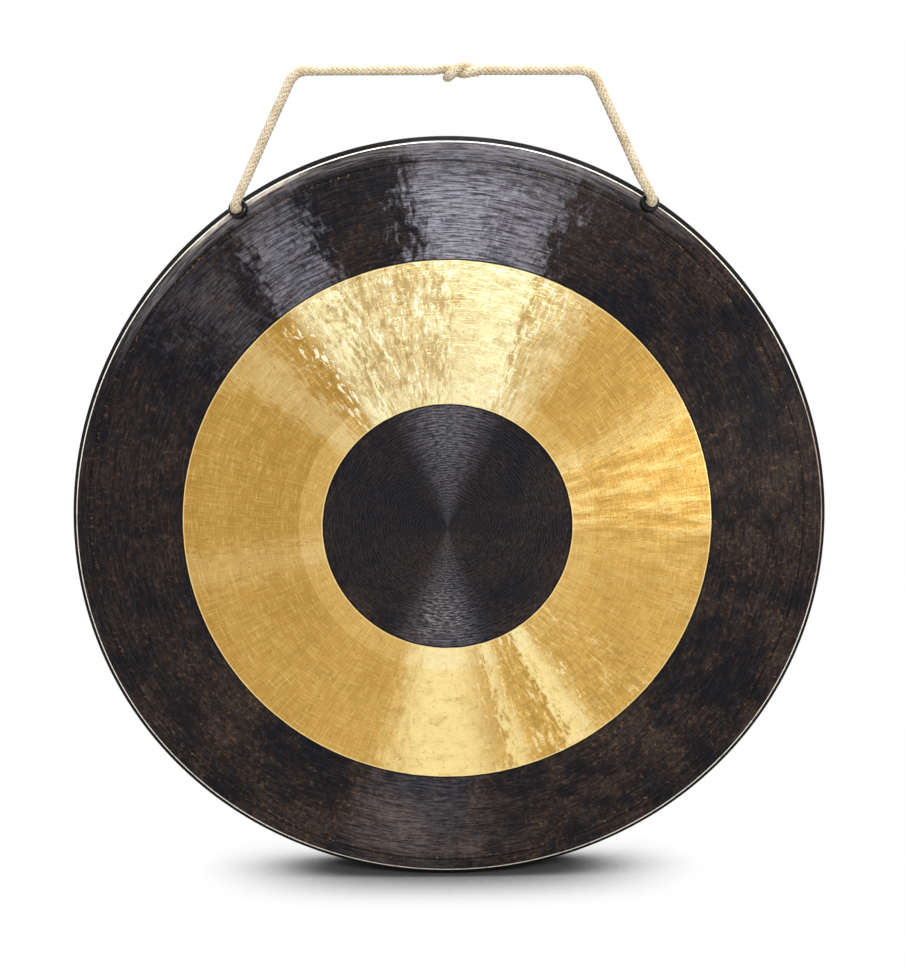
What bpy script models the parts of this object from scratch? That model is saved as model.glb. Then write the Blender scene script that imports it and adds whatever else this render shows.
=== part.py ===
"""Tam-tam: a hammered bronze gong with a turned-back rim, hung on a braided cord.

Metres, +Z up, the struck face towards -Y. The origin is the middle of the line between the
two supports that carry the cord. The cord is one loop: from a knot at the top over the left
support, down to the left bush, behind the face to the right bush, and up over the right support.
"""

from math import atan, atan2, ceil, cos, hypot, pi, radians, sin

import bmesh
import bpy
from mathutils import Matrix, Vector

# Gong plate, turned about its own Y axis: face at y = 0, rim towards +Y
RIM_RADIUS = 0.300
RIM_DEPTH = 0.038
RIM_LEAN = radians(4.0)  # the rim closes in towards the back
PLATE = 0.0020  # thickness of the bronze
BEND_RADIUS = 0.0095  # outside of the turned edge
DOME = 0.004  # rise of the face's centre above its edge
SEGMENTS = 120
FACE_RINGS = 5
BEND_STEPS = 7

# Hammering leaves the rim a little out of round and off the centre of the lathe rings
LOBES = 3
LOBE_HEIGHT = 0.0017
FIRST_LOBE = radians(92.8)  # angle from +X, towards +Z
RIM_OFFSET = Vector((0.0018, 0.0, 0.0001))
ROUNDING_REACH = 0.030  # width of the band where the error fades out

# Holes through the turned edge, and the rubber bushes in them
HOLE_SPREAD = radians(32.0)  # from the top of the gong, each way
HOLE_TURN = radians(24.0)  # how far round the bend a hole faces outwards
HOLE_RADIUS = 0.0055
BUSH_BORE = 0.0040
BUSH_LIP = 0.00195  # radius of the rounded lip's section
BUSH_STAND = 0.0017  # height of the lip's centre above the bronze
BUSH_BACK = 0.0065  # reach of the bush behind the outer surface
BACK_LIP = 0.0016
SEAT_GAP = 0.0003  # between touching pieces
BUSH_SIDES = 36

# Cord
CORD_RADIUS = 0.0035
LEG_CLEARANCE = 0.0004  # between a leg and the lip that it passes
LEG_DROP = 0.0955  # from the support line down to the hole line
HANG_ROLL = radians(0.70)  # the gong hangs this much turned in its own plane
JOIN_X = 0.0920  # where a leg meets the top stretch, on the support line
TUBE_STEP = 0.0125
KNOT_X = 0.0075
KNOT_HALF = 0.0205

# A leg from the support line down, x outwards and z up; its last point is the bush's mouth
LEG_ROUTE = (
    (JOIN_X, 0.0),
    (0.0960, 0.0),
    (0.1000, 0.0),
    (0.1048, -0.0006),
    (0.1084, -0.0022),
    (0.1114, -0.0047),
    (0.1137, -0.0079),
    (0.1187, -0.0178),
    (0.1258, -0.0320),
    (0.1329, -0.0463),
    (0.1400, -0.0607),
    (0.1472, -0.0755),
)
# Where the cord turns from a bush to the straight stretch behind the face, x outwards
BACK_ROUTE = ((0.1509, 0.0131, 0.2450), (0.1440, 0.0150, 0.2442), (0.1300, 0.0152, 0.2442))
BACK_SPAN = (0.1000, 0.0500)
# The two strands of the knot, from its middle
RIGHT_STRAND = (
    (0.0205, 0.0, 0.0),
    (0.0190, 0.0, 0.0),
    (0.0165, 0.0, 0.0),
    (0.0135, 0.0010, 0.0008),
    (0.0100, -0.0002, 0.0018),
    (0.0055, -0.0036, 0.0019),
    (0.0012, -0.0052, -0.0004),
    (-0.0026, -0.0044, -0.0036),
    (-0.0046, -0.0002, -0.0049),
    (-0.0026, 0.0042, -0.0034),
    (0.0018, 0.0052, -0.0002),
    (0.0060, 0.0046, 0.0014),
)
LEFT_STRAND = (
    (-0.0205, 0.0, 0.0),
    (-0.0190, 0.0, 0.0),
    (-0.0165, 0.0, 0.0),
    (-0.0130, 0.0, 0.0004),
    (-0.0070, 0.0003, 0.0013),
    (-0.0015, 0.0006, 0.0009),
    (0.0035, 0.0, -0.0014),
    (0.0080, -0.0026, -0.0024),
    (0.0130, -0.0042, -0.0016),
    (0.0180, -0.0046, -0.0012),
)

FACE_RADIUS = RIM_RADIUS - BEND_RADIUS
LEFT, RIGHT = -1, 1


def clear_scene():
    for obj in list(bpy.data.objects):
        bpy.data.objects.remove(obj, do_unlink=True)


def material(name, colour, roughness, metallic):
    made = bpy.data.materials.new(name)
    made.use_nodes = True
    shader = made.node_tree.nodes["Principled BSDF"]
    shader.inputs["Base Color"].default_value = (*colour, 1.0)
    shader.inputs["Roughness"].default_value = roughness
    shader.inputs["Metallic"].default_value = metallic
    return made


def add_object(name, data, finish=None, parent=None):
    obj = bpy.data.objects.new(name, data)
    bpy.context.scene.collection.objects.link(obj)
    if finish is not None:
        data.materials.append(finish)
    obj.parent = parent
    return obj


def as_cutter(obj):
    obj.hide_render = True
    obj.display_type = "WIRE"
    return obj


def boolean(obj, other, operation):
    step = obj.modifiers.new(f"{operation.lower()}_{other.name}", "BOOLEAN")
    step.operation = operation
    step.solver = "EXACT"
    step.object = other


def mesh_from(bm, name, smooth_to=30.0):
    bmesh.ops.recalc_face_normals(bm, faces=bm.faces)
    mesh = bpy.data.meshes.new(name)
    bm.to_mesh(mesh)
    bm.free()
    mesh.shade_smooth()
    mesh.set_sharp_from_angle(angle=radians(smooth_to))
    return mesh


def spun(profile, axis, steps):
    """A solid of revolution: profile points lie in a plane through the axis."""
    bm = bmesh.new()
    points = [bm.verts.new(p) for p in profile]
    edges = [bm.edges.new(pair) for pair in zip(points, points[1:])]
    bmesh.ops.spin(bm, geom=points + edges, cent=(0, 0, 0), axis=axis, angle=2 * pi,
                   steps=steps, use_merge=True)
    bmesh.ops.remove_doubles(bm, verts=bm.verts, dist=1e-6)
    return bm


def rim_error(angle):
    """How far the hammered rim stands off its true circle at an angle."""
    out = LOBE_HEIGHT * cos(LOBES * (angle - FIRST_LOBE))
    return RIM_OFFSET + out * Vector((cos(angle), 0.0, sin(angle)))


def bend_point(radius, turn):
    return FACE_RADIUS + radius * sin(turn), BEND_RADIUS - radius * cos(turn)


def plate_skin(radius, front, back_edge):
    """One side of the plate from its centre to its back edge, as (r, y)."""
    skin = []
    for k in range(FACE_RINGS):
        r = FACE_RADIUS * k / FACE_RINGS
        skin.append((r, front - DOME * (1 - (r / FACE_RADIUS) ** 2)))
    last_turn = pi / 2 + RIM_LEAN
    skin += [bend_point(radius, last_turn * k / BEND_STEPS) for k in range(BEND_STEPS + 1)]
    r, y = skin[-1]
    skin.append((r - (back_edge - y) * sin(RIM_LEAN) / cos(RIM_LEAN), back_edge))
    return skin


def plate_mesh(name, grow=0.0):
    """The dished plate, grown by an even amount on every side for a clearance cut."""
    outer = plate_skin(BEND_RADIUS + grow, -grow, RIM_DEPTH + grow)
    inner = plate_skin(BEND_RADIUS - PLATE - grow, PLATE + grow, RIM_DEPTH + grow)
    profile = [Vector((r, y, 0.0)) for r, y in outer + inner[::-1]]
    bm = spun(profile, (0, 1, 0), SEGMENTS)
    for vert in bm.verts:
        r = hypot(vert.co.x, vert.co.z)
        t = min(max((r - FACE_RADIUS + ROUNDING_REACH) / ROUNDING_REACH, 0.0), 1.0)
        vert.co += t * t * (3 - 2 * t) * rim_error(atan2(vert.co.z, vert.co.x))
    return mesh_from(bm, name)


def centre_of_mass(mesh):
    """Of an even solid, from the signed tetrahedra under its faces."""
    volume, moment = 0.0, Vector()
    mesh.calc_loop_triangles()
    for face in mesh.loop_triangles:
        a, b, c = (mesh.vertices[i].co for i in face.vertices)
        part = a.dot(b.cross(c)) / 6
        volume += part
        moment += part * (a + b + c) / 4
    return moment / volume


def hole_frame(side):
    """A hole's own axes on the bend: X along the section, Y round the rim, Z out of the bore."""
    angle = pi / 2 - side * HOLE_SPREAD
    outward = Vector((cos(angle), 0.0, sin(angle)))
    r, y = bend_point(BEND_RADIUS, HOLE_TURN)
    place = r * outward + Vector((0.0, y, 0.0)) + rim_error(angle)
    bore = sin(HOLE_TURN) * outward - cos(HOLE_TURN) * Vector((0.0, 1.0, 0.0))
    along = cos(HOLE_TURN) * outward + sin(HOLE_TURN) * Vector((0.0, 1.0, 0.0))
    around = bore.cross(along)
    axes = Matrix((along, around, bore)).transposed()
    return Matrix.Translation(place) @ axes.to_4x4()


def cylinder(name, radius, low, high, frame, parent, sides=BUSH_SIDES):
    bm = bmesh.new()
    middle = Matrix.Translation((0.0, 0.0, (low + high) / 2))
    bmesh.ops.create_cone(bm, cap_ends=True, segments=sides, radius1=radius, radius2=radius,
                          depth=high - low, matrix=middle)
    obj = add_object(name, mesh_from(bm, name), parent=parent)
    obj.matrix_local = frame
    return as_cutter(obj)


def lip(centre_r, centre_z, radius, first, last, steps=7):
    turns = [first + (last - first) * k / steps for k in range(steps + 1)]
    return [(centre_r + radius * cos(t), centre_z + radius * sin(t)) for t in turns]


def bush_blank(name):
    """The moulding before it is shaped to the bronze: two rounded lips on one barrel."""
    inside = BUSH_BORE - SEAT_GAP
    front = lip(inside + BUSH_LIP, BUSH_STAND, BUSH_LIP, pi, 0.0)
    back = lip(inside + BACK_LIP, BACK_LIP - BUSH_BACK, BACK_LIP, 0.0, -pi)
    outline = [(0.0, BUSH_STAND)] + front + back + [(0.0, BACK_LIP - BUSH_BACK)]
    bm = spun([Vector((r, 0.0, z)) for r, z in outline], (0, 0, 1), BUSH_SIDES)
    return mesh_from(bm, name)


def sampled(route, step):
    """Evenly spaced points on a smooth curve through the route's points."""
    route = [Vector(p) for p in route]
    ends = [2 * route[0] - route[1]] + route + [2 * route[-1] - route[-2]]
    fine = []
    for a, b, c, d in zip(ends, ends[1:], ends[2:], ends[3:]):
        for k in range(12):
            t = k / 12
            fine.append(0.5 * (2 * b + (c - a) * t + (2 * a - 5 * b + 4 * c - d) * t ** 2
                               + (3 * b - 3 * c + d - a) * t ** 3))
    fine.append(route[-1])
    run = [0.0]
    for a, b in zip(fine, fine[1:]):
        run.append(run[-1] + (b - a).length)
    count = max(2, ceil(run[-1] / step))
    points, k = [], 0
    for i in range(count + 1):
        want = run[-1] * i / count
        while k < len(run) - 2 and run[k + 1] < want:
            k += 1
        share = (want - run[k]) / (run[k + 1] - run[k])
        points.append(fine[k].lerp(fine[k + 1], share))
    return points


def tube(name, points, finish, parent=None, ball_end=False):
    """A cord along the points, with flat capped ends or a ball at the last one."""
    sizes = [1.0] * len(points)
    if ball_end:
        forward = (points[-1] - points[-2]).normalized()
        centre = points[-1].copy()
        for degrees in (35, 60, 80):
            points.append(centre + CORD_RADIUS * sin(radians(degrees)) * forward)
            sizes.append(cos(radians(degrees)))
    curve = bpy.data.curves.new(name, "CURVE")
    curve.dimensions = "3D"
    curve.bevel_depth = CORD_RADIUS
    curve.bevel_resolution = 3
    curve.use_fill_caps = True
    spline = curve.splines.new("POLY")
    spline.points.add(len(points) - 1)
    for point, place, size in zip(spline.points, points, sizes):
        point.co = (*place, 1.0)
        point.radius = size
    return add_object(name, curve, finish, parent)


def meshed(obj):
    """Turns a tube into a mesh, so that it can be joined to another."""
    bpy.context.view_layer.update()
    mesh = bpy.data.meshes.new_from_object(obj.evaluated_get(bpy.context.evaluated_depsgraph_get()))
    name, finish, parent = obj.name, obj.data.materials[0], obj.parent
    bpy.data.objects.remove(obj, do_unlink=True)
    bm = bmesh.new()
    bm.from_mesh(mesh)
    bmesh.ops.remove_doubles(bm, verts=bm.verts, dist=1e-6)
    return add_object(name, mesh_from(bm, name), finish, parent)


def build_gong(bronze, pivot, place):
    gong = add_object("gong_plate", plate_mesh("gong_plate"), bronze, pivot)
    gong.matrix_local = place
    for side, word in ((LEFT, "left"), (RIGHT, "right")):
        drill = cylinder(f"{word}_drill", HOLE_RADIUS, -BUSH_BACK, BUSH_BACK,
                         place @ hole_frame(side), pivot)
        boolean(gong, drill, "DIFFERENCE")
    return gong


def build_bushes(rubber, pivot, place):
    """Each bush is cut to the bend's own shape, so that both lips seat on the bronze all round."""
    seat = as_cutter(add_object("bush_seat", plate_mesh("bush_seat", SEAT_GAP), parent=pivot))
    seat.matrix_local = place
    neck_radius = HOLE_RADIUS - SEAT_GAP
    for side, word in ((LEFT, "left"), (RIGHT, "right")):
        frame = place @ hole_frame(side)
        bush = add_object(f"{word}_bush", bush_blank(f"{word}_bush"), rubber, pivot)
        bush.matrix_local = frame
        neck_reach = BUSH_BACK - BACK_LIP
        neck = cylinder(f"{word}_neck", neck_radius, -neck_reach, BUSH_STAND / 2, frame, pivot)
        bore = cylinder(f"{word}_bore", BUSH_BORE, -2 * BUSH_BACK, 2 * BUSH_BACK, frame, pivot, 32)
        boolean(bush, seat, "DIFFERENCE")
        boolean(bush, neck, "UNION")
        boolean(bush, bore, "DIFFERENCE")


def build_back_stretch(braid, pivot, place, mouth_height):
    """From inside one bush, through its bore, behind the face and out through the other."""
    def half(side):
        frame = hole_frame(side)
        stop = mouth_height - CORD_RADIUS - LEG_CLEARANCE
        run = [frame @ Vector((0.0, 0.0, w)) for w in (stop, 0.0, -BUSH_BACK)]
        run += [Vector((side * x, y, z)) for x, y, z in BACK_ROUTE]
        z = BACK_ROUTE[-1][2]
        return run + [Vector((side * x, BACK_ROUTE[-1][1], z)) for x in BACK_SPAN]
    route = half(LEFT) + [Vector((0.0, *BACK_ROUTE[-1][1:]))] + half(RIGHT)[::-1]
    stretch = tube("cord_back_stretch", sampled(route, TUBE_STEP * 0.8), braid, pivot)
    stretch.matrix_local = place


def build_legs(braid, swing, mouths):
    for side, word in ((LEFT, "left"), (RIGHT, "right")):
        route = [Vector((side * x, 0.0, z)) for x, z in LEG_ROUTE] + [mouths[side]]
        tube(f"cord_{word}_leg", sampled(route, TUBE_STEP / 2), braid, swing, ball_end=True)


def build_top(braid):
    """The stretch between the supports, with the knot that closes the loop."""
    knot_ends = (KNOT_X - KNOT_HALF, KNOT_X + KNOT_HALF)
    runs = {"left": (SEAT_GAP - JOIN_X, knot_ends[0] - SEAT_GAP),
            "right": (knot_ends[1] + SEAT_GAP, JOIN_X - SEAT_GAP)}
    for word, (start, stop) in runs.items():
        tube(f"cord_top_{word}", sampled([(start, 0, 0), (stop, 0, 0)], 2 * TUBE_STEP), braid)
    middle = Vector((KNOT_X, 0.0, 0.0))
    strands = []
    for name, route in (("cord_knot", RIGHT_STRAND), ("left_strand", LEFT_STRAND)):
        points = sampled([middle + Vector(p) for p in route], CORD_RADIUS)
        strands.append(meshed(tube(name, points, braid)))
    as_cutter(strands[1])
    boolean(strands[0], strands[1], "UNION")


def main():
    clear_scene()
    bronze = material("bronze", (0.80, 0.56, 0.22), 0.32, 1.0)
    rubber = material("black_rubber", (0.012, 0.012, 0.013), 0.35, 0.0)
    braid = material("braided_cord", (0.83, 0.76, 0.62), 0.85, 0.0)

    # Each leg leaves its bush just clear of the lip, and the gong tilts about the two mouths
    mouth_height = BUSH_STAND + BUSH_LIP + CORD_RADIUS + LEG_CLEARANCE
    mouth = {side: hole_frame(side) @ Vector((0.0, 0.0, mouth_height)) for side in (LEFT, RIGHT)}
    middle = (mouth[LEFT] + mouth[RIGHT]) / 2
    line = mouth[RIGHT] - mouth[LEFT]
    slope = atan2(line.z, line.x)

    # The gong comes to rest with its centre of mass straight below the hole line
    place = Matrix.Rotation(slope, 4, "Y") @ Matrix.Translation(-middle)
    weight = place @ centre_of_mass(plate_mesh("weighed"))
    hang_tilt = atan(weight.y / weight.z)

    swing = add_object("support_line", None)
    pivot = add_object("hole_line", None)
    pivot.location = (0.0, 0.0, -LEG_DROP)
    pivot.rotation_euler = (hang_tilt, -(HANG_ROLL + slope), 0.0)
    hang = Matrix.Translation(pivot.location) @ pivot.rotation_euler.to_matrix().to_4x4()

    build_gong(bronze, pivot, place)
    build_bushes(rubber, pivot, place)
    build_back_stretch(braid, pivot, place, mouth_height)
    build_legs(braid, swing, {side: hang @ place @ point for side, point in mouth.items()})
    build_top(braid)
    bpy.context.view_layer.update()


main()
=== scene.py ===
from math import atan2, ceil, cos, hypot, pi, radians, sin, sqrt

import bpy
from mathutils import Euler, Matrix, Vector


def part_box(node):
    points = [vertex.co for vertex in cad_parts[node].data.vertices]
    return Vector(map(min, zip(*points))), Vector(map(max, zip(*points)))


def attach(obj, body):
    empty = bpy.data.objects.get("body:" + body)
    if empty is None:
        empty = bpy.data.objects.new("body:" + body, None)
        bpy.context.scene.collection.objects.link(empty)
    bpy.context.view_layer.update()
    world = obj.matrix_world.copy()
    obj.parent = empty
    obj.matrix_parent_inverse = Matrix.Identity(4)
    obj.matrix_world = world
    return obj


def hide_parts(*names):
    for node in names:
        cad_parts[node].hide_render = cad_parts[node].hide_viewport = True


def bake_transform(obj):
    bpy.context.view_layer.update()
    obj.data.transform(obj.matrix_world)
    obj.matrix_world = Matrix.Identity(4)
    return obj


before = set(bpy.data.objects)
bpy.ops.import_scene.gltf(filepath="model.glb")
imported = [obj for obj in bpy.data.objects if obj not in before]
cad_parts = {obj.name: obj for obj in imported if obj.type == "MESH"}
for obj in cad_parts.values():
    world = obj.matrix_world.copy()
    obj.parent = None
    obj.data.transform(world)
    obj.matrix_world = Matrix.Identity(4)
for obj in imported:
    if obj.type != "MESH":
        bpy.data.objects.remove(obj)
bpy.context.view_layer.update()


# The camera stands a metre before the gong, about as high as its upper edge, and
# looks down at its middle. Its place, its angles and its lens follow the photograph.

CAMERA_PLACE = (-0.005655, -1.043995, -0.074132)
CAMERA_HEADING = radians(0.61005)  # from +Y towards +X
CAMERA_PITCH = radians(-12.90922)
CAMERA_ROLL = radians(0.23197)
LONG_SIDE = 36.0  # mm of the sensor
PHOTO_FOCAL = 50.43  # mm

viewpoint = bpy.data.cameras.new("camera")
viewpoint.sensor_width, viewpoint.lens = LONG_SIDE, PHOTO_FOCAL
viewpoint.clip_start, viewpoint.clip_end = 0.05, 50.0
camera = bpy.data.objects.new("camera", viewpoint)
bpy.context.scene.collection.objects.link(camera)
camera.matrix_world = (
    Matrix.Translation(CAMERA_PLACE) @ Matrix.Rotation(-CAMERA_HEADING, 4, "Z")
    @ Matrix.Rotation(pi / 2 + CAMERA_PITCH, 4, "X") @ Matrix.Rotation(-CAMERA_ROLL, 4, "Z"))
bpy.context.scene.camera = camera
bpy.context.scene.view_settings.view_transform = "Standard"


# The gong plate: one sheet of bronze, hammered out and turned back at its edge,
# with the scale of the forge left on it. A ring of the face is turned bright
# on a lathe, and the whole face carries the marks of the hammer under that.

RIM_RADIUS = 0.300
RIM_DEPTH = 0.038
RIM_LEAN = radians(4.0)
PLATE = 0.0020
BEND_RADIUS = 0.0095
DOME = 0.004
FACE_RADIUS = RIM_RADIUS - BEND_RADIUS
TURNED_STEPS = 400
FRONT_RING, BACK_RING = 0.0046, 0.0092  # between two rings of points on the face

GONG_CENTRE = (0.001413, -0.003244, -0.347744)
GONG_LEAN = radians(-2.1168)  # its heavy rim makes the gong hang with its top forward
GONG_ROLL = radians(-0.70)
GONG_PLACE = Matrix.Translation(GONG_CENTRE) @ Euler((GONG_LEAN, GONG_ROLL, 0.0)).to_matrix().to_4x4()


def dome(r, deep):
    return deep - DOME * (1 - (r / FACE_RADIUS) ** 2)


def face(ring_width, deep):
    """Half a section of one side of the face, from its middle out."""
    return [(ring_width * k, dome(ring_width * k, deep)) for k in range(int(FACE_RADIUS / ring_width))]


def bend(radius, turn):
    return FACE_RADIUS + radius * sin(turn), BEND_RADIUS - radius * cos(turn)


def wall(radius, back_edge, bend_steps, wall_steps):
    """Half a section of one side of the bend and the rim behind it."""
    last_turn = pi / 2 + RIM_LEAN
    points = [bend(radius, last_turn * k / bend_steps) for k in range(bend_steps + 1)]
    r, y = points[-1]
    for k in range(1, wall_steps + 1):
        step = (back_edge - y) * k / wall_steps
        points.append((r - step * sin(RIM_LEAN) / cos(RIM_LEAN), y + step))
    return points


def turned(name, section, steps):
    """A piece turned about its own Y axis, drawn point by point from half its section."""
    bpy.ops.object.select_all(action="DESELECT")
    bpy.ops.mesh.primitive_plane_add(size=0.001)
    piece = bpy.context.object
    piece.name = piece.data.name = name
    bpy.ops.object.mode_set(mode="EDIT")
    bpy.ops.mesh.select_all(action="SELECT")
    bpy.ops.mesh.merge(type="CENTER")
    bpy.ops.transform.translate(value=(*section[0], 0.0))
    for (r0, y0), (r1, y1) in zip(section, section[1:]):
        bpy.ops.mesh.extrude_vertices_move(
            TRANSFORM_OT_translate={"value": (r1 - r0, y1 - y0, 0.0)})
    bpy.ops.mesh.select_all(action="SELECT")
    bpy.ops.mesh.spin(steps=steps, angle=2 * pi, center=(0, 0, 0), axis=(0, 1, 0))
    bpy.ops.mesh.select_all(action="SELECT")
    bpy.ops.mesh.remove_doubles(threshold=1e-6)
    bpy.ops.mesh.normals_make_consistent(inside=False)
    bpy.ops.object.mode_set(mode="OBJECT")
    bpy.ops.object.shade_smooth()
    return piece


front = face(FRONT_RING, 0.0) + wall(BEND_RADIUS, RIM_DEPTH, bend_steps=12, wall_steps=9)
back = face(BACK_RING, PLATE) + wall(BEND_RADIUS - PLATE, RIM_DEPTH, bend_steps=7, wall_steps=7)
gong = turned("gong", front + back[::-1], TURNED_STEPS)

# The hammer's marks fade out where the bend begins, so that the rim stays smooth.
HAMMERED_TO = 0.2935
HAMMERED_FADE = 0.008

hammered = gong.vertex_groups.new(name="hammered")
for vertex in gong.data.vertices:
    inside = HAMMERED_TO - hypot(vertex.co.x, vertex.co.z)
    hammered.add([vertex.index], min(max(inside / HAMMERED_FADE, 0.0), 1.0), "REPLACE")


def beaten(piece, name, kind, size, depth):
    """Presses one texture of hammer marks into the face."""
    texture = bpy.data.textures.new(name, kind)
    texture.noise_scale = size
    press = piece.modifiers.new(name, "DISPLACE")
    press.texture = texture
    press.texture_coords = "LOCAL"
    press.direction = "Y"
    press.mid_level = 0.5
    press.strength = depth
    press.vertex_group = "hammered"
    bpy.context.view_layer.objects.active = piece
    bpy.ops.object.modifier_apply(modifier=name)


beaten(gong, "long_waves", "CLOUDS", size=0.110, depth=0.0005)
beaten(gong, "hammer_rows", "CLOUDS", size=0.034, depth=0.00016)
beaten(gong, "hammer_dents", "VORONOI", size=0.017, depth=0.00006)

# Hammering also leaves the rim a little out of round and off the lathe's centre.
OUT_OF_ROUND = 0.0017
LOBES_FROM = radians(92.8)
RIM_SHIFT = Vector((0.0018, 0.0, 0.0001))
ROUNDING_REACH = 0.030


def rim_error(angle):
    """How far the hammered rim stands off its true circle at an angle."""
    out = OUT_OF_ROUND * cos(3 * (angle - LOBES_FROM))
    return RIM_SHIFT + out * Vector((cos(angle), 0.0, sin(angle)))


for vertex in gong.data.vertices:
    r = hypot(vertex.co.x, vertex.co.z)
    t = min(max((r - FACE_RADIUS + ROUNDING_REACH) / ROUNDING_REACH, 0.0), 1.0)
    vertex.co += t * t * (3 - 2 * t) * rim_error(atan2(vertex.co.z, vertex.co.x))

# The two holes are drilled square to the bend, well round towards the rim.
HOLE_SPREAD = radians(32.0)
HOLE_TURN = radians(24.0)
HOLE_RADIUS = 0.0055


def hole_frame(side):
    """A hole's own axes on the bend: X along the section, Y round the rim, Z out of the bore."""
    angle = pi / 2 - side * HOLE_SPREAD
    outward = Vector((cos(angle), 0.0, sin(angle)))
    r, y = bend(BEND_RADIUS, HOLE_TURN)
    place = r * outward + Vector((0.0, y, 0.0)) + rim_error(angle)
    bore = sin(HOLE_TURN) * outward - cos(HOLE_TURN) * Vector((0.0, 1.0, 0.0))
    along = cos(HOLE_TURN) * outward + sin(HOLE_TURN) * Vector((0.0, 1.0, 0.0))
    axes = Matrix((along, bore.cross(along), bore)).transposed()
    return Matrix.Translation(place) @ axes.to_4x4()


for side in (-1, 1):
    bpy.ops.object.select_all(action="DESELECT")
    bpy.ops.mesh.primitive_cylinder_add(vertices=64, radius=HOLE_RADIUS, depth=0.02)
    drill = bpy.context.object
    drill.matrix_world = hole_frame(side)
    drilling = gong.modifiers.new("drilling", "BOOLEAN")
    drilling.operation = "DIFFERENCE"
    drilling.solver = "EXACT"
    drilling.object = drill
    bpy.context.view_layer.objects.active = gong
    bpy.ops.object.modifier_apply(modifier="drilling")
    bpy.data.objects.remove(drill, do_unlink=True)

gong.data.transform(GONG_PLACE)
gong.data.update()


class Shade:
    """A value somewhere in a finish. Arithmetic on it adds Math nodes."""

    def __init__(self, finish, socket):
        self.finish, self.socket = finish, socket

    def __add__(self, other):
        return self.finish.math("ADD", self, other)

    def __radd__(self, other):
        return self.finish.math("ADD", other, self)

    def __sub__(self, other):
        return self.finish.math("SUBTRACT", self, other)

    def __rsub__(self, other):
        return self.finish.math("SUBTRACT", other, self)

    def __mul__(self, other):
        return self.finish.math("MULTIPLY", self, other)

    def __rmul__(self, other):
        return self.finish.math("MULTIPLY", other, self)

    def __pow__(self, other):
        return self.finish.math("POWER", self, other)


class Finish:
    """A material made up of nodes, on the shader that a new material starts with."""

    def __init__(self, name):
        self.material = bpy.data.materials.new(name)
        self.material.use_nodes = True
        self.tree = self.material.node_tree
        self.shader = self.tree.nodes["Principled BSDF"]

    def add(self, kind, settings=None, inputs=None, output=0):
        """Any node: its settings first, then the values or links of its sockets."""
        node = self.tree.nodes.new(kind)
        for key, value in (settings or {}).items():
            setattr(node, key, value)
        for key, value in (inputs or {}).items():
            self.join(node.inputs[key], value)
        return Shade(self, node.outputs[output])

    def join(self, socket, value):
        if isinstance(value, Shade):
            self.tree.links.new(value.socket, socket)
        else:
            socket.default_value = value

    def surface(self, **sockets):
        for name, value in sockets.items():
            self.join(self.shader.inputs[name.replace("_", " ")], value)

    def wear(self, piece):
        """Gives the finish to a piece in place of any other."""
        piece.data.materials.clear()
        piece.data.materials.append(self.material)

    def math(self, operation, *values):
        return self.add("ShaderNodeMath", {"operation": operation}, dict(enumerate(values)))

    def highest(self, *values):
        total = values[0]
        for value in values[1:]:
            total = self.math("MAXIMUM", total, value)
        return total

    def blend(self, share, first, second):
        """One colour turning into another. A Mix node's colours are its inputs 6 and 7."""
        colours = {k: c if isinstance(c, Shade) else (*c, 1.0) for k, c in ((6, first), (7, second))}
        return self.add("ShaderNodeMix", {"data_type": "RGBA"}, {0: share, **colours}, 2)

    def lay_over(self, colour, *coats):
        """A colour with coats laid over it in turn, each by its share."""
        for share, coat in coats:
            colour = self.blend(share, colour, coat)
        return colour

    def step(self, value, low, high, first=0.0, last=1.0):
        """A soft step from first to last as the value goes from low to high."""
        return self.add("ShaderNodeMapRange", {"interpolation_type": "SMOOTHSTEP"},
                        {0: value, 1: low, 2: high, 3: first, 4: last})

    def ring(self, value, middle, half, soft):
        """1 within half of the middle, fading out over soft."""
        return self.step(self.math("ABSOLUTE", value - middle), half, half + soft, 1.0, 0.0)

    def coordinates(self):
        return self.add("ShaderNodeTexCoord", output="Object")

    def noise(self, vector, scale, detail=2.0, roughness=0.5, distortion=0.0):
        return self.add("ShaderNodeTexNoise", None, {
            "Vector": vector, "Scale": scale, "Detail": detail, "Roughness": roughness,
            "Distortion": distortion})

    def bump(self, height, strength=1.0, distance=1.0):
        return self.add("ShaderNodeBump", None, {
            "Strength": strength, "Distance": distance, "Height": height})


bronze = Finish("hammered_bronze")
to_gong = GONG_PLACE.inverted()
place = bronze.add("ShaderNodeMapping", None, {
    "Vector": bronze.coordinates(), "Location": to_gong.translation, "Rotation": to_gong.to_euler()})
axes = bronze.add("ShaderNodeSeparateXYZ", None, {0: place}).socket.node.outputs
x, y, z = (Shade(bronze, socket) for socket in axes)
r = ((x * x + z * z) ** 0.5) * 1000.0  # mm from the middle
swing = bronze.math("ARCTAN2", z, x)
degrees = swing * (180.0 / pi)  # round the face, from its right-hand side up
cosine, sine = bronze.math("COSINE", swing), bronze.math("SINE", swing)


def lathe_noise(turns, per_mm, shift, detail, roughness, distortion=0.0):
    """Noise that follows the lathe: it has turns round the face, and per_mm across it."""
    drawn_out = bronze.add("ShaderNodeCombineXYZ", None, {
        0: cosine * turns, 1: sine * turns, 2: r * per_mm + shift})
    return bronze.noise(drawn_out, 1.0, detail, roughness, distortion)


def ring_of(middle, half, soft):
    return bronze.ring(r, middle, half, soft)


def strokes(angle, places):
    """The brightest of a row of strokes at an angle round the face."""
    return bronze.highest(*(
        bronze.ring(angle, middle, half, soft) * bright for middle, half, soft, bright in places))


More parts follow.
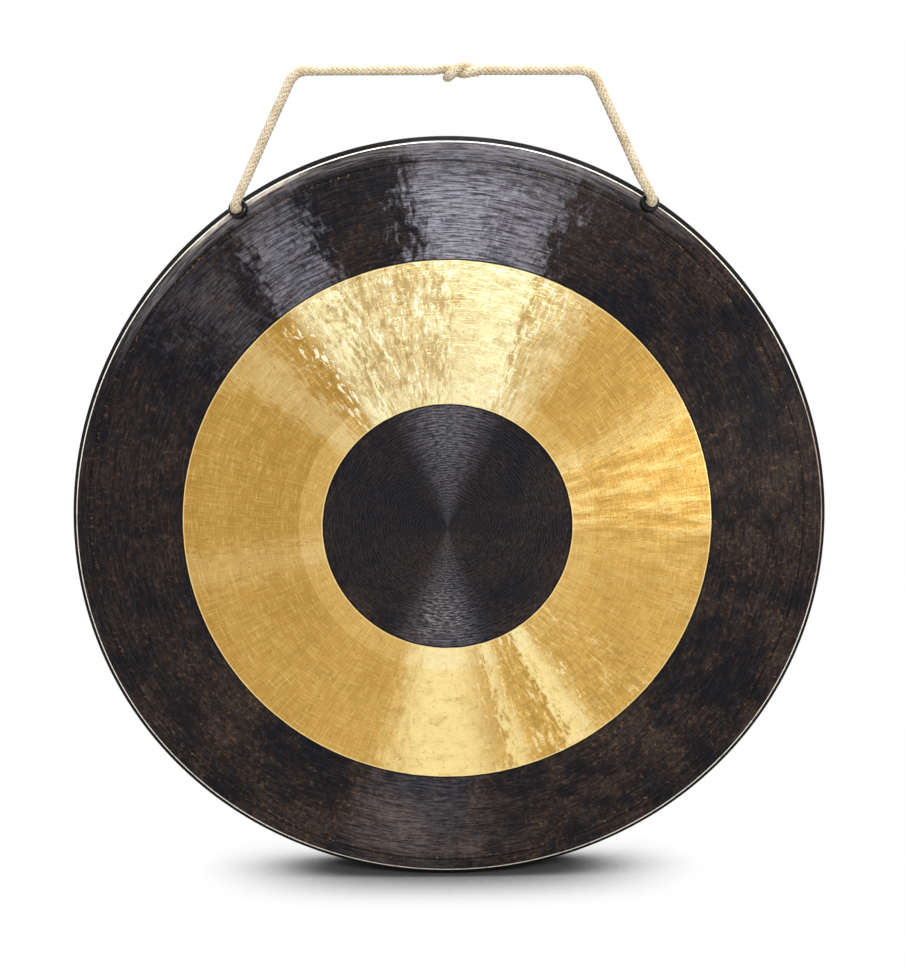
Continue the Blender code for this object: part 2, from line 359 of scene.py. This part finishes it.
lathe_lines = lathe_noise(7.0, 3.4, 0.0, 2.0, 0.6)
lathe_bands = lathe_noise(0.6, 0.14, 40.0, 3.0, 0.6)
scratches = lathe_noise(14.0, 0.9, 80.0, 3.0, 0.65)
flakes = lathe_noise(46.0, 0.11, 10.0, 3.0, 0.65, 0.5)
ripples = lathe_noise(5.0, 0.012, 30.0, 2.0, 0.5)
streaks = lathe_noise(15.0, 0.020, 50.0, 4.0, 0.7, 0.3)
hatching = lathe_noise(170.0, 0.06, 70.0, 2.0, 0.5)
waves = lathe_noise(16.0, 0.026, 90.0, 3.0, 0.6, 0.25)
grain = lathe_noise(46.0, 0.75, 20.0, 4.0, 0.75)
dabs = lathe_noise(11.0, 0.11, 60.0, 4.0, 0.75, 0.6)
ring_wobble = lathe_noise(1.6, 0.05, 15.0, 3.0, 0.6)
blotches = bronze.noise(place, 26.0, 5.0, 0.7, 0.3)
haze = bronze.noise(place, 11.0, 4.0, 0.7, 0.4)
specks = bronze.noise(place, 300.0, 3.0, 0.6)
corrosion = bronze.noise(place, 260.0, 5.0, 0.8)

# Painted highlights where the face catches the light, in rows of strokes drawn out
# from its middle: place round the face in degrees, half width, soft edge and brightness.
GOLD_STROKES = (
    (138.0, 2.5, 5.0, 0.30), (118.0, 3.0, 4.0, 1.0), (106.0, 11.0, 5.0, 0.62),
    (82.0, 11.5, 3.5, 0.85), (75.0, 4.0, 4.0, 1.0), (64.0, 3.0, 11.0, 0.45),
    (28.0, 0.8, 4.0, 0.30), (-58.0, 1.8, 3.5, 0.95), (-74.0, 1.2, 2.5, 0.75),
    (-93.0, 4.0, 15.0, 0.95), (-171.0, 2.0, 6.0, 0.20))
# Rows of painted sheen on the dark rings and on the centre.
DARK_STROKES = (
    (136.0, 2.0, 6.0, 0.12), (118.5, 1.5, 7.0, 0.52), (87.0, 5.0, 8.0, 1.0),
    (76.0, 4.0, 6.0, 0.62), (-97.0, 3.0, 12.0, 0.14))
CENTRE_STROKES = ((89.0, 1.0, 30.0, 0.34), (-93.0, 1.0, 30.0, 0.30))
HOLE_SIDE_STROKES = ((121.0, 4.0, 9.0, 1.0), (60.0, 2.0, 6.0, 0.15))
# Where the hammer's marks show as painted glints and painted dark dashes, and stand deeper in the relief.
HAMMERED_AND_GLINTING_PARTS = (
    (108.0, 17.0, 8.0, 1.0), (66.0, 2.0, 8.0, 0.7), (-44.0, 4.0, 8.0, 0.28),
    (-66.0, 13.0, 8.0, 0.5))
# Where the face's long waves show as painted ripples of highlight and shade, and stand higher in the
# relief.
WAVY_PARTS = ((11.0, 12.0, 8.0, 1.0), (-12.0, 6.0, 10.0, 0.35))

hammered_and_glinting = strokes(degrees, HAMMERED_AND_GLINTING_PARTS)
wavy_part = strokes(degrees, WAVY_PARTS)
drawn = streaks * 0.4 + flakes * 0.6
# Painted glints on the hammered parts.
glints = bronze.step(drawn, 0.54, 0.60) * hammered_and_glinting
ragged = degrees + (flakes - 0.5) * 16.0 + (ripples - 0.5) * 6.0 + (streaks - 0.5) * 8.0
# The painted highlight: pale strokes with ragged edges over the bright ring.
painted_highlight = strokes(ragged, GOLD_STROKES)
painted_highlight = painted_highlight * (1.0 - hammered_and_glinting * bronze.step(drawn, 0.42, 0.52, 0.55, 0.0))
painted_highlight = painted_highlight * bronze.step(grain * 0.5 + dabs * 0.5, 0.40, 0.56, 0.72, 1.0)
painted_highlight = bronze.highest(painted_highlight, glints) * bronze.step(lathe_bands, 0.2, 0.6, 0.85, 1.0)

# The dark rings and the centre get a painted sheen, and the centre has the lathe's fine rings.
RING_PHASE = 2.8  # radians in a mm
centre_rings = bronze.math("SINE", r * RING_PHASE + ring_wobble * 30.0)
centre_rings = centre_rings * bronze.step(r, 92.0, 99.0, 1.0, 0.0)
centre_sheen = strokes(degrees, CENTRE_STROKES) * bronze.step(r, 10.0, 80.0, 0.6, 1.4)
centre_sheen = centre_sheen * bronze.step(centre_rings, -0.8, 0.9, 0.50, 1.0)
centre_sheen = centre_sheen * bronze.step(r, 100.0, 110.0, 1.0, 0.0)
frayed = degrees + (flakes - 0.5) * 22.0 + (ripples - 0.5) * 18.0
outer_sheen = strokes(frayed, DARK_STROKES) * bronze.step(r, 150.0, 160.0)
outer_sheen = outer_sheen * bronze.step(r, 258.0, 280.0, 1.0, 0.55)
streaked = bronze.step(scratches * 0.5 + grain * 0.3 + lathe_lines * 0.2, 0.41, 0.59, 0.10, 1.0)
sheen = (outer_sheen + centre_sheen) * streaked

# The scraped ring, the groove and the bare line on the bend, in mm from the middle.
GOLD_FROM, GOLD_TO = 98.8, 209.1
SECOND_CUT = 108.0
GROOVE = 283.0
BARE_LINE_BELOW, BARE_LINE_ABOVE = 294.2, 295.6
BARE_LINE_HALF = 0.22

edge = (bronze.noise(place, 140.0, 3.0) - 0.5) * 0.7
scraped = bronze.step(r + edge, GOLD_FROM - 0.3, GOLD_FROM + 0.3)
scraped = scraped * bronze.step(r + edge, GOLD_TO - 0.3, GOLD_TO + 0.3, 1.0, 0.0)
second_cut = ring_of(SECOND_CUT, 9.0, 0.6)
lobes = bronze.math("COSINE", swing * 3.0 - 3.0 * LOBES_FROM)
outer = r - (lobes * (OUT_OF_ROUND * 1000.0) + cosine * (RIM_SHIFT.x * 1000.0))
line_place = bronze.step(sine, -0.8, 0.1, BARE_LINE_BELOW, BARE_LINE_ABOVE)
past_line = bronze.step(outer - line_place, 0.5, 1.2)
chipped = bronze.step(bronze.noise(place, 130.0, 3.0, 0.7), 0.36, 0.48, 0.65, 1.0)
on_the_front = bronze.step(y, 0.0024, 0.0032, 1.0, 0.0)
bare_line = bronze.ring(outer, line_place, BARE_LINE_HALF, 0.35) * chipped * on_the_front

# The bright ring's colours.
GOLD_SHADED, GOLD_LIT = (0.51, 0.282, 0.060), (0.76, 0.455, 0.112)
BANDED, TARNISHED, CUT_TWICE = (0.74, 0.46, 0.12), (0.47, 0.26, 0.052), (0.86, 0.57, 0.19)
LINE_AND_SHADE_DARK, SCRATCH_LIGHT = (0.33, 0.18, 0.036), (0.96, 0.68, 0.25)
HATCH_DARK, HATCH_LIGHT = (0.30, 0.16, 0.033), (0.98, 0.70, 0.26)
WAVE_HIGHLIGHT, WAVE_SHADE = (1.0, 0.78, 0.32), (0.40, 0.22, 0.045)
# The painted highlight's colours, for the lower face, the upper face and the second cut.
HIGHLIGHT_BELOW, HIGHLIGHT_ABOVE, HIGHLIGHT_ON_SECOND_CUT = (1.0, 0.80, 0.35), (1.0, 0.89, 0.50), (1.0, 0.93, 0.62)
GLINT_BELOW, GLINT_ABOVE = (1.0, 0.90, 0.50), (1.0, 0.97, 0.72)
DAB_DARK, PIT_DARK, RING_EDGE = (0.44, 0.24, 0.045), (0.28, 0.14, 0.03), (0.97, 0.76, 0.36)
BARE_LINE_HIGHLIGHT, BARE_DULL = (1.0, 0.95, 0.84), (0.50, 0.38, 0.32)

# Painted light and shade: the bright ring is lighter towards its lower right and darker towards its upper
# left.
light_side = bronze.step(bronze.math("COSINE", swing + 0.60), -1.0, 1.0)
highlight_colour = bronze.blend(bronze.step(sine, 0.45, 0.93), HIGHLIGHT_BELOW, HIGHLIGHT_ABOVE)
shine = bronze.blend(bronze.step(sine, -0.3, 0.3), GLINT_BELOW, GLINT_ABOVE)
pits = bronze.step(specks, 0.60, 0.70) * bronze.step(scratches, 0.42, 0.6)
ring_edges = ring_of(GOLD_FROM + 0.5, 0.15, 0.45) + ring_of(GOLD_TO - 0.5, 0.15, 0.45)
# The bare line's near-white colour is a painted highlight on the bare bronze, duller on the right-hand
# side.
line_colour = bronze.blend(bronze.ring(degrees, 4.0, 10.0, 12.0), BARE_LINE_HIGHLIGHT, BARE_DULL)
gold = bronze.lay_over(
    bronze.blend(light_side, GOLD_SHADED, GOLD_LIT),
    (bronze.step(lathe_bands, 0.35, 0.65) * 0.3, BANDED),
    (bronze.step(blotches, 0.35, 0.68) * 0.4, TARNISHED),
    (second_cut * 0.45, CUT_TWICE),
    (bronze.step(lathe_lines, 0.46, 0.60) * 0.34, LINE_AND_SHADE_DARK),
    (bronze.step(scratches, 0.52, 0.66) * 0.34, SCRATCH_LIGHT),
    (bronze.step(hatching, 0.52, 0.64) * 0.26, HATCH_DARK),
    (bronze.step(hatching, 0.42, 0.32) * 0.20, HATCH_LIGHT),
    # painted ripples of highlight and shade
    (bronze.step(waves, 0.50, 0.62) * wavy_part * 0.38, WAVE_HIGHLIGHT),
    (bronze.step(waves, 0.49, 0.36) * wavy_part * 0.36, WAVE_SHADE),
    # dark dashes, most in the hammered parts: painted shade of the hammer's relief
    (bronze.step(drawn, 0.50, 0.44) * (hammered_and_glinting * 0.62 + 0.12), LINE_AND_SHADE_DARK),
    # painted highlight, paler towards the top
    (painted_highlight, highlight_colour),
    (second_cut * painted_highlight * 0.35, HIGHLIGHT_ON_SECOND_CUT),
    (glints * 0.75, shine),
    (bronze.step(dabs, 0.28, 0.46, 0.40, 0.0), DAB_DARK),
    (pits * 0.7, PIT_DARK),
    (ring_edges * 0.8, RING_EDGE),
    (bronze.step(r, 280.0, 285.0), line_colour))

# The forge scale's colours, and the painted sheen, glints and shade laid over the scale.
SCALE_BLACK, SCALE_BROWN = (0.0030, 0.0028, 0.0050), (0.028, 0.0162, 0.0093)
CUT_BLACK = (0.001, 0.001, 0.001)
WORKED_GREY, LINE_GREY, CENTRE_GREY = (0.074, 0.058, 0.055), (0.034, 0.032, 0.042), (0.036, 0.035, 0.040)
SPECK_BROWN, RUST, GROOVE_RUST = (0.090, 0.056, 0.038), (0.19, 0.100, 0.052), (0.26, 0.15, 0.085)
LOW_SHEEN, SHEEN, SPARKLE_HIGHLIGHT = (0.19, 0.135, 0.11), (0.33, 0.32, 0.375), (0.42, 0.36, 0.34)
SHOULDER_SHEEN_COLOUR, HOLE_SIDE_PALE, ARC_GLINT = (0.19, 0.175, 0.18), (0.62, 0.54, 0.45), (0.42, 0.42, 0.45)
EDGE_SHADE_BLACK, EDGE_WORN = (0.003, 0.003, 0.003), (0.30, 0.17, 0.055)

brown = bronze.step(haze * 0.5 + blotches * 0.35 + corrosion * 0.15, 0.43, 0.58)
# Browner towards the lower right, less brown towards the upper left.
brown = brown * bronze.step(cosine * 0.6 - sine * 0.8, -0.6, 0.3, 0.45, 1.0)
brown = brown * bronze.step(r, 85.0, 99.0, 0.45, 1.0)
rust = bronze.step(corrosion, 0.55, 0.66)
rust_outside = rust * (brown * 0.55 + 0.08) * bronze.step(r, 95.0, 102.0, 0.4, 1.0)
worked = bronze.step(scratches * 0.5 + grain * 0.5, 0.48, 0.62)
# A brownish painted sheen low on the dark ring.
below = bronze.ring(degrees, -93.0, 6.0, 14.0) * ring_of(255.0, 18.0, 14.0)
below = below * bronze.step(haze, 0.36, 0.56, 0.15, 0.50) * streaked
# Painted sparkle on the centre's rings, low down.
sparkle_highlights = bronze.ring(degrees, -94.0, 4.0, 16.0) * ring_of(72.0, 4.0, 22.0)
sparkle_highlights = sparkle_highlights * bronze.step(scratches, 0.50, 0.66)
# A painted sheen on the top of the bend.
shoulder_sheen = bronze.ring(outer, 290.5, 1.5, 3.5) * bronze.ring(degrees, 100.0, 38.0, 20.0)
shoulder_sheen = shoulder_sheen * bronze.step(scratches, 0.38, 0.62, 0.05, 0.55)
# Paler on the bend by the holes, most by the left one.
pale_by_holes = bronze.ring(outer, 294.0, 0.7, 1.4) * strokes(degrees, HOLE_SIDE_STROKES)
pale_by_holes = pale_by_holes * bronze.step(dabs, 0.34, 0.56, 0.25, 1.0)
# Painted glints on the edges of the hammer's marks, within the painted sheen.
hammer_edges = bronze.add("ShaderNodeTexVoronoi", {"feature": "F1"}, {"Vector": place, "Scale": 120.0})
arc_glints = bronze.ring(hammer_edges, 0.42, 0.02, 0.04)
arc_glints = arc_glints * bronze.step(bronze.noise(place, 150.0, 1.0), 0.54, 0.62)
worn_edge = bronze.step(y, 0.0362, 0.0380) * bronze.step(specks * 0.5 + blotches * 0.5, 0.40, 0.56)
oxide = bronze.lay_over(
    bronze.blend(brown * bronze.step(scratches, 0.36, 0.60, 0.35, 1.0), SCALE_BLACK, SCALE_BROWN),
    (worked * (brown * 0.30 + 0.22), WORKED_GREY),
    (bronze.step(lathe_lines, 0.54, 0.72) * 0.35, LINE_GREY),
    (bronze.step(specks, 0.50, 0.62) * brown * 0.35, SPECK_BROWN),
    (rust_outside, RUST),
    (bronze.step(centre_rings, 0.0, 0.9) * 0.28, CENTRE_GREY),
    (below, LOW_SHEEN),
    (sheen, SHEEN),
    (sparkle_highlights * 0.5, SPARKLE_HIGHLIGHT),
    (shoulder_sheen, SHOULDER_SHEEN_COLOUR),
    (pale_by_holes, HOLE_SIDE_PALE),
    (arc_glints * (sheen * 0.4), ARC_GLINT),
    (ring_of(GROOVE, 0.3, 0.9) * 0.75, CUT_BLACK),
    (ring_of(GROOVE - 1.2, 0.6, 1.6) * rust * 0.75, GROOVE_RUST),
    (ring_of(GOLD_TO + 0.7, 0.3, 0.5) * 0.9, CUT_BLACK),
    (ring_of(GOLD_FROM - 0.7, 0.3, 0.5) * 0.9, CUT_BLACK),
    # painted shade: black on the bend's outer front, past the bare line
    (past_line * bronze.step(y, 0.008, 0.018, 1.0, 0.0) * 0.9, EDGE_SHADE_BLACK),
    (worn_edge * 0.8, EDGE_WORN))

# The relief, in metres: what the tools cut, and the hammer's facets round the rim.
LINE_DEPTH, SCRATCH_DEPTH, HATCH_DEPTH, RING_DEPTH = 0.00010, 0.000045, 0.00003, 0.00005
FLAKE_DEPTH, WAVE_DEPTH, GROOVE_DEPTH, FACET_DEPTH = 0.00032, 0.0004, 0.0003, 0.0012

facets = bronze.add("ShaderNodeTexVoronoi", {"feature": "SMOOTH_F1"}, {
    "Vector": place, "Scale": 55.0, "Smoothness": 0.6})
height = (lathe_lines * LINE_DEPTH + scratches * SCRATCH_DEPTH + hatching * HATCH_DEPTH
          + flakes * (hammered_and_glinting * 0.95 + 0.05) * FLAKE_DEPTH + waves * wavy_part * WAVE_DEPTH
          - ring_of(GROOVE, 0.4, 0.9) * GROOVE_DEPTH + centre_rings * RING_DEPTH
          + facets * bronze.step(y, 0.007, 0.014) * FACET_DEPTH)
dull = bronze.step(scratches, 0.3, 0.7, 0.14, 0.20)
dull = dull + past_line * bronze.step(y, 0.010, 0.024, 0.75, 0.35)
bronze.surface(
    Base_Color=bronze.blend(bronze.highest(scraped, bare_line), oxide, gold),
    Metallic=bronze.highest(scraped, bare_line * 0.35), Roughness=dull, IOR=1.20,
    Normal=bronze.bump(height))
bronze.wear(gong)
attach(gong, "gong")
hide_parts("gong_plate")


# The bushes: a black rubber grommet squeezed into each hole, so that the cord
# rubs on rubber and not on the sharp edge of the bronze.

RUBBER_BLACK, RUBBER_DUSTY = (0.003, 0.003, 0.0033), (0.010, 0.010, 0.010)

rubber = Finish("black_rubber")
dust = rubber.noise(rubber.coordinates(), 900.0, 4.0, 0.6)
rubber.surface(
    Base_Color=rubber.blend(rubber.step(dust, 0.45, 0.75), RUBBER_BLACK, RUBBER_DUSTY),
    Roughness=rubber.step(dust, 0.3, 0.7, 0.10, 0.18), IOR=1.33,
    Normal=rubber.bump(dust, 0.25, 0.0002))
for name in ("left_bush", "right_bush"):
    rubber.wear(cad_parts[name])


# The cord: a 7 mm braid of sixteen cotton strands, eight each way, knotted into
# one loop. It runs over two supports, down to the bushes, in through them and
# across behind the face.

CORD_RADIUS = 0.0035
BRAID_LAY = 0.030  # length in which a strand goes once round
BRAID_STRANDS = 8  # each way
BRAID_SIDES = 44
BRAID_STEP = 0.00055
STRAND_HALF = 0.56  # of the distance between strands
CROWN = 0.0008  # how much higher a strand's middle stands than its sides
LIE = 0.00033  # how much deeper a strand lies where it goes under
BULGE = 0.0002  # how far the highest strands swell past the radius
OPEN_LIFT = 0.0011  # from the bottom of a crevice to where a strand has no painted shade
SPAN_STEPS = 24  # between two points of a route


def smooth_route(route, step):
    """Evenly spaced points on a smooth curve through the route's points."""
    route = [Vector(p) for p in route]
    ends = [2 * route[0] - route[1]] + route + [2 * route[-1] - route[-2]]
    fine = []
    for a, b, c, d in zip(ends, ends[1:], ends[2:], ends[3:]):
        for k in range(SPAN_STEPS):
            t = k / SPAN_STEPS
            fine.append(0.5 * (2 * b + (c - a) * t + (2 * a - 5 * b + 4 * c - d) * t ** 2
                               + (3 * b - 3 * c + d - a) * t ** 3))
    fine.append(route[-1])
    run = [0.0]
    for a, b in zip(fine, fine[1:]):
        run.append(run[-1] + (b - a).length)
    count = ceil(run[-1] / step)
    points, k = [], 0
    for i in range(count + 1):
        want = run[-1] * i / count
        while k < len(run) - 2 and run[k + 1] < want:
            k += 1
        share = (want - run[k]) / (run[k + 1] - run[k])
        points.append(fine[k].lerp(fine[k + 1], share))
    return points


def braid(along, turn):
    """How far a point of the braid's surface stands out, and how near a strand's middle it is."""
    a = BRAID_STRANDS * (turn + along)
    b = BRAID_STRANDS * (turn - along)
    best, top = -1.0, 0.0
    for mine, other, way in ((a, b, 1.0), (b, a, -1.0)):
        across = (mine % 1.0) - 0.5
        wave = way * cos(pi / 2 * (int(mine // 1) + other - 1.0))
        section = sqrt(max(0.0, 1.0 - (across / STRAND_HALF) ** 2))
        height = LIE * wave + CROWN * (section - 1.0)
        if height > best:
            best, top = height, section
    return best, top


def braided(name, route):
    """A braided cord along a route, closed at both ends."""
    path = smooth_route(route, BRAID_STEP)
    ahead = (path[1] - path[0]).normalized()
    side = ahead.cross(Vector((0, 1, 0)) if abs(ahead.y) < 0.9 else Vector((1, 0, 0))).normalized()
    corners, faces, unshaded = [], [], []
    travelled = 0.0
    for i, point in enumerate(path):
        before, after = path[max(i - 1, 0)], path[min(i + 1, len(path) - 1)]
        ahead = (after - before).normalized()
        side = (side - side.dot(ahead) * ahead).normalized()
        out = ahead.cross(side)
        travelled += (point - before).length
        for k in range(BRAID_SIDES):
            turn = k / BRAID_SIDES
            rise, top = braid(travelled / BRAID_LAY, turn)
            radius = CORD_RADIUS - LIE + BULGE + rise
            corners.append(point + radius * (cos(2 * pi * turn) * side + sin(2 * pi * turn) * out))
            # Painted shade: darker down in the crevices and towards each strand's sides.
            unshaded.append(max(0.0, min(1.0, (rise + CROWN) / OPEN_LIFT)) * (0.4 + 0.6 * top))
    rings = len(path)
    for i in range(rings - 1):
        for k in range(BRAID_SIDES):
            j = (k + 1) % BRAID_SIDES
            a, b = i * BRAID_SIDES, (i + 1) * BRAID_SIDES
            faces.append((a + k, a + j, b + j, b + k))
    for ring, middle, forward in ((0, path[0], False), (rings - 1, path[-1], True)):
        corners.append(middle)
        unshaded.append(0.3)
        hub = len(corners) - 1
        for k in range(BRAID_SIDES):
            j = (k + 1) % BRAID_SIDES
            edge = (ring * BRAID_SIDES + k, ring * BRAID_SIDES + j)
            faces.append((*edge, hub) if forward else (*edge[::-1], hub))
    mesh = bpy.data.meshes.new(name)
    mesh.from_pydata(corners, [], faces)
    lift = mesh.attributes.new("crevice", "FLOAT", "POINT")
    lift.data.foreach_set("value", unshaded)
    mesh.shade_smooth()
    cord = bpy.data.objects.new(name, mesh)
    bpy.context.scene.collection.objects.link(cord)
    cotton.wear(cord)
    return cord, path


def length_of(path):
    return sum((b - a).length for a, b in zip(path, path[1:]))


COTTON_CLEAN, COTTON_SOILED = (0.70, 0.60, 0.44), (0.54, 0.42, 0.26)
COTTON_CREVICE_SHADE = (0.085, 0.044, 0.015)

cotton = Finish("braided_cotton")
cotton_place = cotton.coordinates()
lifted = cotton.add("ShaderNodeAttribute", {"attribute_name": "crevice"}, output="Fac")
soiling = cotton.noise(cotton_place, 90.0, 4.0, 0.6)
fibres = cotton.noise(cotton_place, 2600.0, 3.0, 0.6)
cotton.surface(
    Base_Color=cotton.lay_over(
        COTTON_CLEAN,
        (cotton.step(soiling, 0.35, 0.7), COTTON_SOILED),
        # painted shade in the braid's crevices
        (cotton.step(lifted, 0.70, 0.38), COTTON_CREVICE_SHADE)),
    Roughness=cotton.step(fibres, 0.3, 0.7, 0.8, 0.95),
    Normal=cotton.bump(fibres, 0.5, 0.0002))

JOIN_X = 0.0920
KNOT_X = 0.0075
RIGHT_STRAND = (
    (0.0205, 0.0, 0.0),
    (0.0165, 0.0, 0.0),
    (0.0135, 0.0010, 0.0008),
    (0.0100, -0.0002, 0.0018),
    (0.0055, -0.0036, 0.0019),
    (0.0012, -0.0052, -0.0004),
    (-0.0026, -0.0044, -0.0036),
    (-0.0046, -0.0002, -0.0049),
    (-0.0026, 0.0042, -0.0034),
    (0.0018, 0.0052, -0.0002),
    (0.0060, 0.0046, 0.0014),
)
LEFT_STRAND = (
    (-0.0205, 0.0, 0.0),
    (-0.0165, 0.0, 0.0),
    (-0.0130, 0.0, 0.0004),
    (-0.0070, 0.0003, 0.0013),
    (-0.0015, 0.0006, 0.0009),
    (0.0035, 0.0, -0.0014),
    (0.0080, -0.0026, -0.0024),
    (0.0130, -0.0042, -0.0016),
    (0.0180, -0.0046, -0.0012),
)

knot = Vector((KNOT_X, 0.0, 0.0))
for side, word, strand in ((-1, "left", LEFT_STRAND), (1, "right", RIGHT_STRAND)):
    straight = [(side * x, 0.0, 0.0) for x in (JOIN_X, 0.07, 0.045)]
    piece, path = braided(f"cord_{word}_top", straight + [knot + Vector(p) for p in strand])
    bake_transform(piece)
    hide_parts(f"cord_top_{word}", "cord_knot")
    round(length_of(path), 3)

# From over a support down a leg to its bush's mouth: x outwards and z up.
LEG_ROUTE = (
    (JOIN_X, 0.0),
    (0.0960, 0.0),
    (0.1000, 0.0),
    (0.1048, -0.0006),
    (0.1084, -0.0022),
    (0.1114, -0.0047),
    (0.1137, -0.0079),
    (0.1187, -0.0178),
    (0.1258, -0.0320),
    (0.1329, -0.0463),
    (0.1400, -0.0607),
    (0.1472, -0.0755),
)
# From the bush's inner end to the straight stretch behind the face, in the gong's own axes.
BACK_ROUTE = (
    (0.1509, 0.0131, 0.2450),
    (0.1440, 0.0150, 0.2442),
    (0.1300, 0.0152, 0.2442),
    (0.1000, 0.0152, 0.2442),
    (0.0500, 0.0152, 0.2442),
)
MOUTH_HEIGHT = 0.00755
BUSH_BACK = 0.0065


def half_hanging(side):
    """From the top stretch over a support, down a leg, through the bush and behind the face."""
    leg = [Vector((side * x, 0.0, z)) for x, z in LEG_ROUTE]
    bore = GONG_PLACE @ hole_frame(side)
    through = [bore @ Vector((0.0, 0.0, w)) for w in (MOUTH_HEIGHT, 0.0, -BUSH_BACK)]
    behind = [GONG_PLACE @ Vector((side * x, y, z)) for x, y, z in BACK_ROUTE]
    return leg + through + behind


middle_behind = GONG_PLACE @ Vector((0.0, *BACK_ROUTE[-1][1:]))
hanging, hanging_path = braided(
    "cord_hanging", half_hanging(-1) + [middle_behind] + half_hanging(1)[::-1])
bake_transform(hanging)
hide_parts("cord_left_leg", "cord_right_leg", "cord_back_stretch")
round(length_of(hanging_path), 3)


# The studio: white paper under the gong, in a white surround, with a wide soft lamp
# overhead and narrower ones before the face that draw out the sheen. The paper is
# darker where the gong comes near it, which stands for the gong's shadow.

PAPER_SIZE = 24.0
PAPER_GAP = 0.001  # under the rim's lowest point
PAPER_LIGHT, PAPER_SHADED = (0.55, 0.54, 0.53), (0.12, 0.12, 0.12)
SHADOW_REACH = 0.075  # how near a piece has to be to darken the paper
SHADOW_FADES = (0.42, 0.90)  # openness at which the shadow is full and at which it ends
SURROUND_LIGHT = 0.30  # on the gong; the surround itself is seen white
SEEN_BY = ("Is Camera Ray", "Is Glossy Ray", "Is Transmission Ray")
LAMP_DISTANCE = 1.9

bpy.ops.object.select_all(action="DESELECT")
bpy.ops.mesh.primitive_plane_add(size=PAPER_SIZE, location=(0, 0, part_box("gong_plate")[0].z - PAPER_GAP))
floor = bpy.context.object
floor.name = "floor"
paper = Finish("white_paper")
rays = paper.add("ShaderNodeLightPath").socket.node.outputs
looked_at = paper.highest(*(Shade(paper, rays[ray]) for ray in SEEN_BY))
sheet = paper.add("ShaderNodeBsdfDiffuse", None, {
    "Color": paper.blend(looked_at, PAPER_LIGHT, PAPER_SHADED)})
white = paper.add("ShaderNodeEmission")
openness = paper.add("ShaderNodeAmbientOcclusion", {"samples": 16}, {"Distance": SHADOW_REACH}, "AO")
mixed = paper.add("ShaderNodeMixShader", None, {
    0: paper.step(openness, *SHADOW_FADES) * looked_at, 1: sheet, 2: white})
paper.join(paper.tree.nodes["Material Output"].inputs["Surface"], mixed)
paper.wear(floor)

world = bpy.data.worlds.new("surround")
bpy.context.scene.world = world
world.use_nodes = True
surround = world.node_tree
seen_by = surround.nodes.new("ShaderNodeLightPath")
level = surround.nodes["Background"].inputs["Strength"]
total = None
for ray in SEEN_BY:
    pick = surround.nodes.new("ShaderNodeMath")
    pick.operation = "MAXIMUM"
    pick.inputs[1].default_value = SURROUND_LIGHT
    surround.links.new(seen_by.outputs[ray], pick.inputs[0])
    if total is not None:
        surround.links.new(total.outputs[0], pick.inputs[1])
    total = pick
surround.links.new(total.outputs[0], level)
surround.nodes["Background"].inputs["Color"].default_value = (1.0, 1.0, 1.0, 1.0)


def softbox(name, place, towards, wide, high, glow):
    """A soft lamp of a width, a height and a brightness, turned towards a place."""
    light = bpy.data.lights.new(name, "AREA")
    light.shape = "RECTANGLE"
    light.size, light.size_y = wide, high
    light.energy = glow * pi * wide * high
    lamp = bpy.data.objects.new(name, light)
    bpy.context.scene.collection.objects.link(lamp)
    lamp.location = place
    lamp.rotation_euler = (place - towards).to_track_quat("Z", "Y").to_euler()


def in_front(name, across, up, wide, high, glow):
    """A lamp before the face, by the direction cosines of its place seen from the gong."""
    aim = Vector((across, -sqrt(1 - across ** 2 - up ** 2), up))
    place = GONG_PLACE @ (LAMP_DISTANCE * aim)
    softbox(name, place, GONG_PLACE.translation, wide * LAMP_DISTANCE, high * LAMP_DISTANCE, glow)


in_front("key", across=0.21, up=0.52, wide=0.56, high=0.26, glow=11.0)
in_front("left_strip", across=-0.39, up=0.52, wide=0.22, high=0.26, glow=5.0)
in_front("right_low", across=0.50, up=-0.135, wide=0.30, high=0.25, glow=2.0)
in_front("right_strip", across=0.60, up=0.10, wide=0.09, high=0.25, glow=4.0)
softbox("overhead", place=Vector((0.0, 0.0, 1.65)), towards=Vector((0.0, 0.0, 0.0)),
        wide=2.6, high=2.0, glow=4.4)
